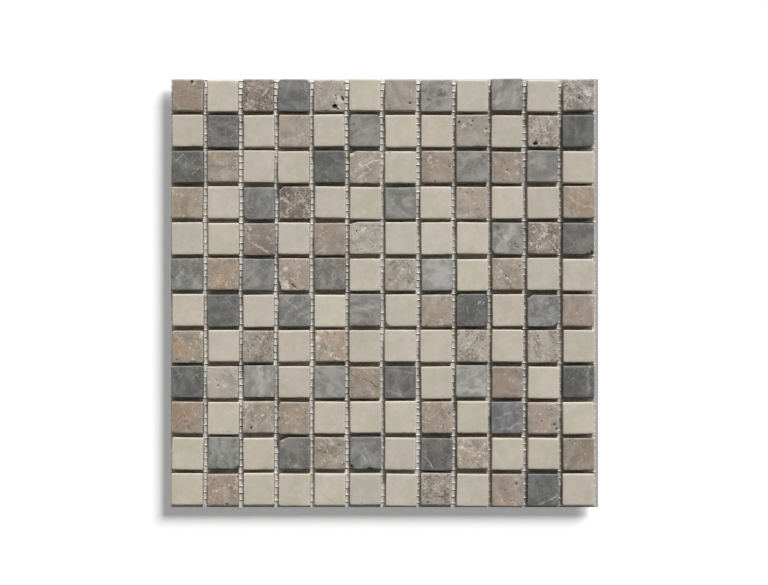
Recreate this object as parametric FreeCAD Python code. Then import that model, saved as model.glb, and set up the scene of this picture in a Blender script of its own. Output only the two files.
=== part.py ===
import FreeCAD, Part
import math
import os
import random

# A mosaic sheet of small stone chips on an open-mesh backing net, in millimetres.
# The sheet lies face up: +X is its right, +Y its top edge, +Z out of its face.
# The origin is the middle of the net's underside.

# Chips, a little narrower along X than along Y, and the joints beside and above them
CHIP_WIDTH = 22.6
CHIP_LENGTH = 23.1
CHIP_THICKNESS = 8.0
SIDE_JOINT = 2.8
ROW_JOINT = 2.5
CORNER_RADIUS = 0.8
EDGE_WEAR = 0.6

# How much one chip differs from the next, as the largest difference either way
PLACE_SCATTER = 0.5
SIZE_SCATTER = 0.3
TURN_SCATTER_DEG = 0.9
WEAR_SCATTER = 0.2
SCATTER_SEED = 31

# Backing net: weft threads run along X and lie lowest, warp threads cross over them
THREAD_PITCH = 4.8
THREAD_WIDTH = 0.8
THREAD_THICKNESS = 0.3
EDGE_THREAD_INSET = 0.2
WEFT_LEAN_DEG = -1.0

# Which stone each chip is cut from, row by row from the top edge down
LAYOUT = (
    "TCMGPCPLCLCP",
    "CGCTCLCCPCPD",
    "DTCCDTCTLTLC",
    "TCGMCCGCTCCT",
    "CCMCTPCCCLMG",
    "GTGTGCPLCTCC",
    "CDCGCLCTDCGT",
    "TCPCTCCCPCPC",
    "DPLCLTGCLTCD",
    "TCTTCCCTCGTC",
    "CGCDTGCDTCCT",
    "CTCCCCCPCTDC",
)
STONES = {
    "C": "cream_marble",
    "L": "light_grey_marble",
    "G": "grey_marble",
    "D": "dark_grey_marble",
    "T": "tan_travertine",
    "P": "porous_travertine",
    "M": "mottled_travertine",
}

# Broken corners: row and column from the top left, the corner, how far the break
# reaches along the chip's X and Y edges, and how deep it goes down the corner
BROKEN_CORNERS = (
    (1, 4, "top left", 2.2, 2.0, 24.0),
    (1, 4, "top right", 2.4, 2.0, 24.0),
    (2, 6, "top left", 2.0, 2.4, 24.0),
    (2, 6, "top right", 2.4, 2.2, 24.0),
    (2, 8, "top left", 1.8, 1.6, 1.6),
    (2, 12, "bottom right", 3.0, 3.0, 24.0),
    (3, 6, "top left", 2.6, 2.0, 2.6),
    (3, 7, "top left", 4.0, 1.2, 1.6),
    (4, 3, "bottom left", 2.6, 2.4, 24.0),
    (4, 4, "top left", 2.4, 2.6, 3.2),
    (5, 6, "top left", 2.2, 1.8, 2.0),
    (5, 10, "bottom left", 3.0, 3.0, 24.0),
    (5, 12, "bottom right", 5.0, 1.6, 3.0),
    (6, 4, "bottom left", 3.0, 2.6, 4.0),
    (7, 7, "bottom left", 2.6, 2.4, 3.0),
    (7, 9, "top left", 2.2, 2.2, 24.0),
    (7, 9, "top right", 2.4, 2.0, 24.0),
    (7, 9, "bottom right", 2.2, 2.4, 24.0),
    (7, 11, "top left", 4.0, 3.6, 24.0),
    (7, 11, "bottom right", 3.8, 4.0, 24.0),
    (8, 1, "top right", 3.0, 2.8, 4.0),
    (10, 4, "top left", 1.4, 5.0, 2.4),
    (11, 2, "bottom right", 4.0, 3.0, 24.0),
    (11, 4, "top left", 7.0, 3.0, 5.0),
    (11, 6, "top left", 2.4, 3.0, 3.0),
    (11, 6, "bottom left", 3.2, 2.0, 3.0),
)
CORNER_SIGNS = {
    "top left": (-1, 1),
    "top right": (1, 1),
    "bottom left": (-1, -1),
    "bottom right": (1, -1),
}

# Sizes that follow from the ones above. The net ends half a joint beyond the chips,
# so that sheets laid edge to edge keep the same joint.
PITCH_X = CHIP_WIDTH + SIDE_JOINT
PITCH_Y = CHIP_LENGTH + ROW_JOINT
ROWS = len(LAYOUT)
COLUMNS = len(LAYOUT[0])
NET_THICKNESS = 2 * THREAD_THICKNESS
NET_LENGTH_X = COLUMNS * PITCH_X
NET_LENGTH_Y = ROWS * PITCH_Y

UP = FreeCAD.Vector(0, 0, 1)


def outline_points(side_x, side_y):
    """A chip's outline seen from above. Each rounded corner is two facets."""
    points = []
    for quarter in range(4):
        middle_angle = math.radians(45 + 90 * quarter)
        centre_x = math.copysign(side_x / 2 - CORNER_RADIUS, math.cos(middle_angle))
        centre_y = math.copysign(side_y / 2 - CORNER_RADIUS, math.sin(middle_angle))
        for step in (-1, 0, 1):
            angle = middle_angle + step * math.radians(45)
            x = centre_x + CORNER_RADIUS * math.cos(angle)
            y = centre_y + CORNER_RADIUS * math.sin(angle)
            points.append(FreeCAD.Vector(x, y, 0))
    return points


def chip_blank(side_x, side_y):
    """A chip as sawn, standing on the plane z = 0."""
    points = outline_points(side_x, side_y)
    outline = Part.makePolygon(points + points[:1])
    return Part.Face(outline).extrude(UP * CHIP_THICKNESS)


def wear_top_edges(blank, wear):
    """Takes the sharp edge off all round the face."""
    top = max(blank.Faces, key=lambda face: face.CenterOfMass.z)
    return blank.makeChamfer(wear, top.Edges)


def breaking_block(along_x_edge, along_y_edge, down_corner, reach):
    """What a break takes away: everything outside the plane through three points."""
    middle = (along_x_edge + along_y_edge + down_corner) / 3
    spread = []
    for point in (along_x_edge, along_y_edge, down_corner):
        spread.append(middle + (point - middle) * 4)
    outward = (along_y_edge - along_x_edge).cross(down_corner - along_x_edge)
    if outward.z < 0:
        outward = -outward
    outward.normalize()
    return Part.Face(Part.makePolygon(spread + spread[:1])).extrude(outward * reach)


def break_corner(chip, side_x, side_y, corner, reach_x, reach_y, depth):
    """Breaks one corner off along a plane that leans outwards on its way down."""
    sign_x, sign_y = CORNER_SIGNS[corner]
    tip = FreeCAD.Vector(sign_x * side_x / 2, sign_y * side_y / 2, CHIP_THICKNESS)
    along_x_edge = tip - FreeCAD.Vector(sign_x * reach_x, 0, 0)
    along_y_edge = tip - FreeCAD.Vector(0, sign_y * reach_y, 0)
    down_corner = tip - UP * depth
    block = breaking_block(along_x_edge, along_y_edge, down_corner, CHIP_THICKNESS)
    return chip.cut(block)


def chip_centre(row, column):
    """The middle of a chip's place on the sheet, on top of the net."""
    x = (column - (COLUMNS + 1) / 2) * PITCH_X
    y = ((ROWS + 1) / 2 - row) * PITCH_Y
    return FreeCAD.Vector(x, y, NET_THICKNESS)


def stone_chip(row, column):
    """One chip in its place, with its own small differences and broken corners."""
    draw = random.Random(SCATTER_SEED * 10000 + row * 100 + column)
    side_x = CHIP_WIDTH + draw.uniform(-SIZE_SCATTER, SIZE_SCATTER)
    side_y = CHIP_LENGTH + draw.uniform(-SIZE_SCATTER, SIZE_SCATTER)
    shift_x = draw.uniform(-PLACE_SCATTER, PLACE_SCATTER)
    shift_y = draw.uniform(-PLACE_SCATTER, PLACE_SCATTER)
    turn = draw.uniform(-TURN_SCATTER_DEG, TURN_SCATTER_DEG)
    wear = EDGE_WEAR + draw.uniform(-WEAR_SCATTER, WEAR_SCATTER)
    chip = wear_top_edges(chip_blank(side_x, side_y), wear)
    for broken_row, broken_column, corner, reach_x, reach_y, depth in BROKEN_CORNERS:
        if (broken_row, broken_column) == (row, column):
            chip = break_corner(chip, side_x, side_y, corner, reach_x, reach_y, depth)
    chip.rotate(FreeCAD.Vector(0, 0, 0), UP, turn)
    chip.translate(chip_centre(row, column) + FreeCAD.Vector(shift_x, shift_y, 0))
    return chip


def row_chips(row, letter):
    """The chips of one kind of stone in one row."""
    chips = []
    for column in range(1, COLUMNS + 1):
        if LAYOUT[row - 1][column - 1] == letter:
            chips.append(stone_chip(row, column))
    return chips


def thread_section():
    """Half width and height pairs round a flattened thread's section."""
    half_width = THREAD_WIDTH / 2
    half_flat = (THREAD_WIDTH - THREAD_THICKNESS) / 2
    return (
        (-half_width, THREAD_THICKNESS / 2),
        (-half_flat, 0),
        (half_flat, 0),
        (half_width, THREAD_THICKNESS / 2),
        (half_flat, THREAD_THICKNESS),
        (-half_flat, THREAD_THICKNESS),
    )


def thread_places(net_width, lean_run):
    """Where threads cross the net's middle line: one there, the outermost along the edges."""
    reach = (net_width - THREAD_WIDTH - abs(lean_run)) / 2 - EDGE_THREAD_INSET
    each_way = round(reach / THREAD_PITCH)
    return [reach * step / each_way for step in range(-each_way, each_way + 1)]


def weft_threads():
    """Threads from side to side, lowest, a little askew, with ends cut at the net's edge."""
    lean_run = NET_LENGTH_X * math.tan(math.radians(WEFT_LEAN_DEG))
    run = FreeCAD.Vector(NET_LENGTH_X, lean_run, 0)
    threads = []
    for place in thread_places(NET_LENGTH_Y, lean_run):
        start = FreeCAD.Vector(-NET_LENGTH_X / 2, place - lean_run / 2, 0)
        corners = [start + FreeCAD.Vector(0, across, up) for across, up in thread_section()]
        section = Part.makePolygon(corners + corners[:1])
        threads.append(Part.Face(section).extrude(run))
    return threads


def warp_threads():
    """Threads from top to bottom, which lie on the weft threads."""
    run = FreeCAD.Vector(0, NET_LENGTH_Y, 0)
    threads = []
    for place in thread_places(NET_LENGTH_X, 0):
        start = FreeCAD.Vector(place, -NET_LENGTH_Y / 2, THREAD_THICKNESS)
        corners = [start + FreeCAD.Vector(across, 0, up) for across, up in thread_section()]
        section = Part.makePolygon(corners + corners[:1])
        threads.append(Part.Face(section).extrude(run))
    return threads


def write_node(name, solids):
    """Writes one node's solids as a STEP file."""
    Part.makeCompound(solids).exportStep(os.path.join("parts", name + ".step"))


os.makedirs("parts", exist_ok=True)
write_node("net_weft_threads", weft_threads())
write_node("net_warp_threads", warp_threads())
for row in range(1, ROWS + 1):
    for letter, stone in STONES.items():
        chips = row_chips(row, letter)
        if chips:
            write_node("row_%02d_%s" % (row, stone), chips)
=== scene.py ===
import functools
import itertools
import math

import bpy
import numpy as np
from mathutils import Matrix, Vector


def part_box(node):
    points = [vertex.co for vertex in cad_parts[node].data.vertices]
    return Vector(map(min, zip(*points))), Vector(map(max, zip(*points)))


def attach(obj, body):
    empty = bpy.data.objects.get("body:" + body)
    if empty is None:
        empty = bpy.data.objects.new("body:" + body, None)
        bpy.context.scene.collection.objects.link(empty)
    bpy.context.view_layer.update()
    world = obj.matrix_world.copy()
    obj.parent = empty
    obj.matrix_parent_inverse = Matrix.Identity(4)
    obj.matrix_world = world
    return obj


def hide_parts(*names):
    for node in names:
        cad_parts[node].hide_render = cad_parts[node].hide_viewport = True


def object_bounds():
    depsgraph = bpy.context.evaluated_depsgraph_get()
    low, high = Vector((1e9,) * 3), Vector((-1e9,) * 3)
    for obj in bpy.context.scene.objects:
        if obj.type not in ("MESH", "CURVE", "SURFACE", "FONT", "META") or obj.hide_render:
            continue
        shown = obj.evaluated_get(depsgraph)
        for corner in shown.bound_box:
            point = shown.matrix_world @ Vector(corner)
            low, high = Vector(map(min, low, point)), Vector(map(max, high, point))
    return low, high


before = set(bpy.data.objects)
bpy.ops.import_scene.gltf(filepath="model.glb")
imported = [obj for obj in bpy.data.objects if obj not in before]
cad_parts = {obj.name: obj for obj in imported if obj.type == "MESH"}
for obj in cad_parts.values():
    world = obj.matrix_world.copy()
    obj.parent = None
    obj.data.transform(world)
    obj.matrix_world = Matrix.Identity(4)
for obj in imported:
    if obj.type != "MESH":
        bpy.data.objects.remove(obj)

# Lengths are in millimetres until a mesh is made, and MM turns them into metres.
MM = 0.001
cad_low, cad_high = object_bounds()
LOW = np.array(cad_low) / MM
HIGH = np.array(cad_high) / MM
ROW_NODES = sorted(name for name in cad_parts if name.startswith("row_"))
ROWS = len({name[:6] for name in ROW_NODES})
COLUMNS = 12
WIDTH, LENGTH = (HIGH - LOW)[:2]
PITCH_X = WIDTH / COLUMNS
PITCH_Y = LENGTH / ROWS
NET_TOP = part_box("net_warp_threads")[1][2] / MM
scene = bpy.context.scene

# How finely a chip is divided: cells in the band along each top edge, cells across the
# rest of the face, cells down the side, and how much these crowd towards the edges
EDGE_BAND = 1.7
CELLS = {"marble": (5, 19, 6), "cream": (5, 17, 5), "travertine": (5, 34, 6)}
EDGE_CROWDING = 1.4
SIDE_CROWDING = 1.3

# How far inside a chip the rays to its surface start, and how round its edges are
INNER_INSET = 3.0
EDGE_ROUNDING = 0.14

# The tables below are by chip, 100 times its row plus its column, with places from the
# chip's middle.
# Veins seen on single chips: start x and y, end x and y, width, strength. A strength
# above 0 is a pale vein and one below 0 a dark crack.
VEINS = {
    103: [(7.5, 4.5, 2.3, -0.5, 0.6, 1), (-5.5, 8.5, -1.5, 7.5, 1, 1.2), (4.2, -3, 6.3, -6.4, 0.6, -1)],
    104: [(-3, 12, -6.5, -2.5, 0.6, 0.45), (8, 9.5, 11, -7, 0.6, 0.5)],
    110: [(-5, 11, -6, -11, 1.8, 0.35), (6, 11, 5, -11, 1.4, 0.3)],
    206: [(-8, -4, 9, 5, 1.4, 0.35)],
    301: [(-4.5, 9, -9, 4, 0.4, 0.8), (-4.5, 9, -0.5, 4.5, 0.35, 0.6), (8.5, 0, 3.5, -5, 0.45, 0.8)],
    306: [(-4.5, 3, -2, -0.8, 0.8, 1.8), (-3, 0.6, 9, 5, 0.5, 1.6), (-6, -8, 2, -4, 0.7, 0.9)],
    404: [(-7.8, 2.2, -4, 0.8, 0.7, 1.4), (-7.2, -6.6, -4.8, -4, 0.7, 1), (4, 3, 10.5, -6.5, 0.45, 1)],
    412: [(-8, 5, 0, -1.5, 0.8, 0.5), (0, -1.5, 10, -4, 1, 0.5)],
    503: [(-5, -3.5, -2, -3.5, 0.5, 0.8), (-2, -3.5, 7, -9.5, 0.9, 1)],
    505: [(-10, 2, -1, 7, 0.5, 0.8), (-10, -4, -3, 0, 0.5, 0.7), (-9, -9, -2, -5, 0.5, 0.7)],
    510: [(-7, -10, 4, 10, 3.2, 0.8), (-4, -2, -9, 3, 0.8, 0.7)],
    511: [(0.3, 10, 1.8, 5, 1.2, 1.3), (2, 4.5, -5, -1.5, 0.6, 1.2), (2.8, -1, 10, -7.3, 0.5, 1)],
    604: [(-3.4, -5, 1.6, -9.6, 0.8, -1.6)],
    610: [(-3, -0.8, 1, -2.8, 0.6, -1.6)],
    702: [(1, 9, 9, 3, 0.8, 0.35)],
    704: [(-6.5, 9, 7.5, -4, 0.6, 0.4)],
    706: [(-10, 2, 10, 2, 1, 0.7), (0, 2, 5, -6, 0.6, 0.4)],
    709: [(-4, 3, -3, -3, 0.5, 0.6)],
    805: [(-5, 8, -1, -6, 1.2, 0.35)],
    806: [(-1, -2, 8, 9, 0.4, 0.45), (2, -8, 9, 2, 0.4, 0.35)],
    902: [(1.5, 8.5, 7, 4, 0.45, -0.9)],
    903: [(0.8, 12, 1.2, -12, 2.2, 0.6)],
    906: [(-6.5, 4.5, 2, 1.5, 0.4, -1.5), (1, 2, 11, -3.5, 0.4, -1.5), (4, 9, 10, 6, 0.6, 0.5)],
    907: [(-10, 9, 10, 7, 1, 0.5), (-10, -6, 2, -10, 1.2, 0.6)],
    912: [(6, 9, 7, -8, 1.2, 0.5)],
    1002: [(0, -9, 4.4, -8.5, 0.45, -1.3)],
    1005: [(-1, -10, 5.5, -5, 1, 0.6)],
    1010: [(-9, -1, 0, 3, 0.7, 0.5), (-2, 3, 10, 4.5, 0.8, 0.4), (-6, -9, 10, -4, 0.9, 0.45)],
    1105: [(-10, 2.5, -0.5, 1.5, 0.4, -1.2), (-3, 9, -1, 2, 0.4, -0.8)],
    1106: [(-4.5, 1, 1.5, -7.5, 0.8, 0.6), (-1, 4, 3.5, -6, 0.6, 0.5)],
    1108: [(-9, -2, -2, -9, 0.6, 0.7)],
    1109: [(-7, 5, 4, -3, 0.8, 0.6)],
    1110: [(-10, 5, -2, -10.5, 1, 0.4)],
    1201: [(-5, 4, -3, -7, 1.5, -0.12)],
    1203: [(5, 8, 9, -9, 2.2, -0.12)],
    1204: [(7, 9, 8, -9, 1, 0.4)],
    1205: [(-1, -6, 2.4, -8.5, 0.4, -0.6)],
    1208: [(1, -4, 5, -6, 0.9, -1), (5, -3, 9.5, -4.5, 0.8, -1), (-1, 9.5, 3, 8.5, 0.7, -0.9)],
    1209: [(1, -1.5, -1, -10.5, 0.4, -0.4), (1.2, -2, 5.5, -6, 0.4, -0.25)],
    1210: [(-8, -1, -3, -9, 1, 0.6)],
    1211: [(-3, -11, 11, -4, 0.8, 0.6)],
}

# Breaks that go further on the visible chip than on the solid: which corner along x and
# y, how far along each of its edges, and how deep
DEEPER_BREAKS = {
    306: (-1, 1, 5.2, 3, 14), 404: (-1, 1, 3.8, 3.4, 14), 506: (-1, 1, 6.5, 1.8, 12),
    604: (-1, -1, 2.6, 8.5, 10), 707: (-1, -1, 3, 3, 12), 1004: (-1, 1, 2.2, 6, 8),
    1104: (-1, 1, 8, 3.4, 14), 1106: (-1, -1, 3.6, 2.6, 10),
}

# Pits and edge nicks seen on single chips: x, y, radius
PITS = {
    101: [(3, 9.5, 1)],
    105: [(4.2, -8, 1.5), (6.2, -9.8, 0.8), (10, -2.7, 1.2), (5, -2.7, 0.5), (-3.7, -8.4, 0.4),
        (4.5, 0.3, 0.45), (9.5, 4, 0.4), (8.5, -0.8, 0.5), (-2, -11, 0.6)],
    209: [(-9.4, 6, 0.7), (-3.4, 4.9, 0.4), (0, 7, 0.5), (10.6, 1.6, 0.8)],
    211: [(-5.7, -9.2, 1.5), (-1.5, -8.8, 0.5), (2.5, -9, 0.4)],
    307: [(-8, 11.2, 0.9)],
    308: [(9, 0.5, 0.55), (-1.5, -10.5, 0.6)],
    310: [(0, -1.5, 0.6)],
    506: [(4.4, -1.8, 0.5), (-6.2, 5.1, 0.4)],
    512: [(9.8, -10.4, 1.2), (6.5, -11.2, 0.8), (-4, -11.4, 0.6)],
    601: [(-11, -2, 0.8)],
    801: [(4.6, -10.5, 0.6)],
    1003: [(-5, -7.5, 0.8)],
    1004: [(-11, 0, 0.7)],
    1008: [(8.5, 3, 0.5)],
    1011: [(-1, -2, 0.5), (8, -4.5, 0.7), (9.5, -7.5, 0.7)],
    1105: [(10, -7.5, 0.6)],
    1106: [(-10.4, -9.4, 1), (2.6, -11.3, 0.9), (4.8, -11.3, 0.7)],
    1202: [(8, 6.5, 0.4), (3, -10.5, 0.8), (-5, -11.3, 0.5)],
    1206: [(-3, -9.5, 0.35)],
    1210: [(6, 5, 0.8)],
}

# Patches seen on single chips: x, y, radius, strength, pale above 0 and dark below
PATCHES = {
    101: [(4.5, 8.5, 1.7, 0.9)],
    105: [(7.5, -3.5, 3.4, 0.8), (6, -9.5, 1.8, 0.9), (-6, 4, 1.6, 0.4)],
    108: [(3.5, 1, 3.2, -0.7), (-4.5, -3, 2.8, -0.7), (0.5, -6.5, 2.8, -0.6)],
    112: [(6.5, 1.5, 3, 0.7)],
    206: [(-8, 4, 2, -0.6)],
    207: [(-5, -1.5, 1.2, 0.5)],
    209: [(-5.6, 4, 2.6, 0.9), (-0.7, 6.8, 1.8, 0.8), (9.8, 0, 1.4, 0.8)],
    306: [(-9.5, 10, 2.6, 0.9)],
    308: [(-4.5, 7.5, 1.6, 1)],
    309: [(0, -4, 5, -0.4)],
    310: [(7, 4, 2, 0.6), (8, -4, 2, 0.5), (8, -9, 1.8, -0.6)],
    401: [(-3.5, 5.5, 1.2, 0.8), (4.6, 0.4, 0.9, 0.8), (-10, 8, 1.3, 0.8), (-7, 6, 1, 0.7)],
    404: [(-9, 3, 2.4, 0.8)],
    405: [(-4.5, -2.5, 0.7, -0.5)],
    506: [(-1, 6, 2, 0.9), (4.4, -2, 1.4, 0.8), (8, -5.5, 1.6, 0.7)],
    510: [(6, -4.5, 5, -0.8), (-7, 7.5, 4, -0.6), (9.5, 5, 2.6, -0.5)],
    604: [(-6, -8, 4.2, 1), (-3.2, -4.4, 1.3, -0.9), (-6, 4, 2.6, 0.6)],
    610: [(-0.5, -3.2, 1.4, 0.9)],
    704: [(6, 6, 5, -0.5)],
    709: [(6, 5, 3, 0.5)],
    801: [(1.5, -0.8, 1.7, 0.8), (10, 7.6, 2.4, 0.8), (-9, 2.5, 1.2, 0.7), (2.2, 2.6, 1, 0.9),
        (-4, 3, 0.9, 0.9), (4, -8.5, 1.4, 0.8)],
    805: [(-9, 6, 2.8, 0.7), (-8.5, -1, 2.4, 0.6), (-4, -4, 1.6, 0.6), (1, -5.5, 2.2, 0.6),
        (4, -8.5, 1.6, 0.7)],
    904: [(-4.7, -4, 1.4, -0.35)],
    905: [(-7, 5.5, 2.4, -0.7), (-2, 0.5, 1.6, -0.6), (4, -6, 2, -0.5)],
    907: [(0, -9, 4.5, 0.4)],
    912: [(7, 10, 2, 0.6)],
    1003: [(3, 2, 1.6, 0.7), (7, 7, 1.6, 0.6), (-9.5, 8, 1.6, 0.8)],
    1105: [(1.5, 8, 2, 0.7), (-1.5, 1.2, 0.8, 0.9), (9, -6.5, 1.6, 0.6)],
    1109: [(6, -1, 4, 0.5), (9.5, 6, 3, 0.5), (-8.5, 4.5, 1.8, 0.7), (6, -8.5, 3, -0.5)],
    1202: [(6, 1.6, 1.1, -0.9), (1, 2.2, 1.6, 0.8), (8.5, 1.5, 1.4, 0.8), (-4, -0.5, 1, 0.8),
        (10, 7, 1.8, 0.7), (-6.5, -1, 1.1, 0.9), (4, 3.2, 1.2, 0.9), (9, -4, 1.4, 0.8), (-6.5, 9, 1, 0.8),
        (2.5, -4, 0.9, 0.7)],
    1206: [(-3, -9, 1, 0.9)],
    1210: [(5.5, 1.5, 2, 0.6)],
}

# Golden brown areas seen on single chips: x, y, radius, strength
WARM_AREAS = {
    206: [(8, 7, 3, 0.4)],
    401: [(-5, -5, 7, 0.5)],
    412: [(4, -4, 8, 0.6)],
    602: [(-3, -7, 5, 0.8), (2, 3, 5, 0.3)],
    605: [(7, 4, 4, 0.7), (-8, -8, 3, 0.7)],
    708: [(2, 4, 6, 0.4)],
    801: [(-7, 0, 7, 0.8)],
    805: [(5, 3, 8, 0.5)],
    1001: [(-6, 0, 7, 1.2), (2, 8, 4, 0.8)],
    1201: [(-4, 2, 5, 0.3)],
}

# Chips whose colour stands out from the rest of their stone: lighter above 0, golden
# above 0 and bluish below, rosy above 0 and greenish below, mostly from -1 to 1
TINTS = {
    101: (-0.9, 0.5, 0.2), 103: (-0.5, 0, 0), 104: (-1, -0.8, 0), 105: (0.2, -0.5, 0.3),
    107: (-0.4, -0.2, 0.6), 110: (-0.2, -0.3, 0), 111: (-0.2, -0.2, 0), 112: (0.5, -1.2, 0.2),
    201: (-0.8, 0.1, -0.1), 202: (-1.3, 0, -0.1), 204: (1.2, -0.5, -0.2), 206: (-1, 0, -0.2),
    209: (-0.8, -0.2, 0), 210: (-0.9, 0, 0), 211: (0.9, -0.3, 0.2), 305: (-0.2, 0.2, -0.8),
    306: (1.1, -0.2, 0), 308: (-0.3, 0, 0.5), 309: (-0.5, 0, 0), 401: (0.2, 0.6, -0.4),
    403: (0.1, -0.6, 0.3), 404: (-1.5, 0, 0.1), 407: (0.9, 0.1, -0.8), 409: (1.8, -0.6, 0),
    411: (-0.9, 0, 0), 412: (0.4, 0.6, 0), 503: (-0.5, -0.2, 0.7), 505: (-0.5, -0.3, 0.4),
    506: (0.9, 0, -0.3), 510: (-0.3, -0.2, 0), 511: (0.4, -0.2, 0.1), 512: (-1.4, 0.1, 0),
    602: (-0.3, 0.6, 0.3), 604: (0.9, -0.2, 0), 605: (0, 0.8, 0.1), 608: (0.8, -1, 0),
    610: (0.6, -0.1, 0.2), 705: (1.5, -0.2, 0), 709: (-0.9, 0, -0.1), 711: (0.4, -0.8, 0),
    712: (-0.2, 0, 0.7), 801: (-0.1, 1, -0.4), 803: (-0.9, 0, 0.2), 805: (1.2, 0.2, 0), 811: (0.9, 0, -0.2),
    901: (-0.5, 0.1, -0.8), 902: (0.9, 0, 0), 903: (0.3, -0.2, 0), 904: (-0.8, 0.1, 0),
    905: (-0.2, -0.2, 0), 907: (-1.6, -0.4, 0), 909: (1, -0.4, -0.6), 910: (-0.8, 0, 1), 912: (-1, 0, -0.1),
    1004: (0, 0.8, -0.2), 1010: (-0.6, -0.9, 0.4), 1011: (0.7, -0.4, 0.1), 1101: (0, 0.3, -0.7),
    1102: (0.7, 0.3, -0.8), 1104: (1.5, 0.6, 0), 1107: (-0.9, 0, 0), 1109: (2.2, 0, 0.5),
    1112: (-1.2, 0.5, 0.3), 1201: (-0.3, 0.5, -0.2), 1206: (-1, -0.7, 0), 1211: (-0.3, -0.7, 0),
    1212: (-0.9, 0, 0),
}

# Chips that are plainer or busier than most of their stone: mottling and dark specks,
# each from 0 to 1
TEXTURES = {
    101: (0, 0), 103: (1, 0.4), 105: (0.1, 0.15), 107: (0.1, 0.2), 112: (1, 0.85), 202: (1, 0.6),
    204: (0, 0.1), 209: (0.2, 0.1), 211: (0.4, 1), 308: (0, 0.2), 310: (0.2, 0.3), 311: (0.1, 0),
    404: (1, 0.2), 412: (0.1, 0), 503: (0, 0), 505: (0.1, 0.1), 506: (0, 0), 511: (1, 0.3), 601: (1, 0.5),
    604: (0.2, 0.1), 605: (1, 1), 607: (0.2, 0.5), 608: (0, 0), 610: (0.4, 0.2), 708: (0.3, 0),
    712: (0.1, 0.2), 801: (0.1, 0), 803: (0.4, 0.9), 809: (0.1, 1), 811: (0.3, 0.8), 902: (0, 0),
    905: (0, 0), 912: (1, 0.6), 1001: (0.1, 0.1), 1003: (0.4, 0.1), 1008: (0.4, 0.3), 1112: (0.1, 0),
    1202: (0.1, 0.1), 1208: (0.2, 1),
}


def value_noise(points, size, seed):
    """Smooth noise from -1 to 1, with features about size across."""
    cells = 24
    table = np.random.default_rng(seed).uniform(-1, 1, (cells,) * 3)
    scaled = points / size
    low = np.floor(scaled).astype(int)
    part = scaled - low
    part = part * part * (3 - 2 * part)
    total = np.zeros(len(points))
    for corner in itertools.product((0, 1), repeat=3):
        weight = np.prod(np.where(corner, part, 1 - part), axis=1)
        x, y, z = ((low + corner) % cells).T
        total += weight * table[x, y, z]
    return total


def layered_noise(points, size, seed, layers=3):
    """Noise with finer and fainter layers on top of the first."""
    total = np.zeros(len(points))
    for layer in range(layers):
        total += value_noise(points, size / 2**layer, seed + layer) / 2**layer
    return total


def smooth_step(values):
    """Eases a share from 0 to 1."""
    share = np.clip(values, 0, 1)
    return share * share * (3 - 2 * share)


def mesh_object(name, points_mm, faces, material, smooth=True):
    """A mesh object from points in millimetres. End faces of five sides or more stay flat."""
    mesh = bpy.data.meshes.new(name)
    mesh.from_pydata((np.asarray(points_mm) * MM).tolist(), [], faces)
    mesh.update()
    mesh.materials.append(material)
    mesh.polygons.foreach_set("use_smooth", [smooth and len(face) <= 4 for face in faces])
    piece = bpy.data.objects.new(name, mesh)
    scene.collection.objects.link(piece)
    return piece


def store(piece, name, values):
    """Keeps one number or one vector for each vertex, for the materials to read."""
    values = np.asarray(values, dtype=np.float32)
    kind, field = ("FLOAT_VECTOR", "vector") if values.ndim == 2 else ("FLOAT", "value")
    layer = piece.data.attributes.new(name, kind, "POINT")
    layer.data.foreach_set(field, values.ravel())


def join(parts):
    """One list of points and of faces from several."""
    all_points, all_faces, start = [], [], 0
    for points, faces in parts:
        all_points.append(points)
        all_faces += [tuple(start + corner for corner in face) for face in faces]
        start += len(points)
    return np.concatenate(all_points), all_faces


# Chips

def node_triangles(node):
    """Corner points of a CAD node's triangles, in millimetres."""
    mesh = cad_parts[node].data
    mesh.calc_loop_triangles()
    points = np.array([vertex.co for vertex in mesh.vertices], dtype=float)
    return points[[list(triangle.vertices) for triangle in mesh.loop_triangles]] / MM


# Which triangles of a solid are too small to tell a plane, when two lie in one plane, what
# tilts count as one, and when a ray runs along a plane
SMALLEST_SIZE = 0.01
SAME_DIRECTION = 0.9995
SAME_DISTANCE = 0.02
SAME_TILT = 0.02
PARALLEL = 1e-4


def chip_planes(triangles):
    """The flat faces of one convex chip, as outward normals and distances."""
    across = np.cross(triangles[:, 1] - triangles[:, 0], triangles[:, 2] - triangles[:, 0])
    sizes = np.linalg.norm(across, axis=1)
    normals, distances = [], []
    for index in np.argsort(-sizes):
        if sizes[index] < SMALLEST_SIZE:
            continue
        normal = across[index] / sizes[index]
        distance = normal @ triangles[index].mean(axis=0)
        if not any(
            normal @ other > SAME_DIRECTION and abs(distance - far) < SAME_DISTANCE
            for other, far in zip(normals, distances)
        ):
            normals.append(normal)
            distances.append(distance)
    return np.array(normals), np.array(distances)


def deeper_break(normals, distances, low, high, chip):
    """Adds the plane of a break that goes further than the solid's own."""
    if chip not in DEEPER_BREAKS:
        return normals, distances
    sign_x, sign_y, reach_x, reach_y, depth = DEEPER_BREAKS[chip]
    tip = np.where((sign_x > 0, sign_y > 0, True), high, low)
    outward = np.array([sign_x / reach_x, sign_y / reach_y, 1 / depth])
    size = np.linalg.norm(outward)
    normals = np.concatenate([normals, [outward / size]])
    return normals, np.append(distances, (outward @ tip - 1) / size)


def spaced_line(half, edge_cells, core_cells):
    """Grid lines from -half to half, closer together towards both ends."""
    inward = EDGE_BAND * (np.arange(edge_cells) / edge_cells) ** EDGE_CROWDING
    core = np.linspace(-half + EDGE_BAND, half - EDGE_BAND, core_cells + 1)
    return np.concatenate([-half + inward, core, (half - inward)[::-1]])


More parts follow.
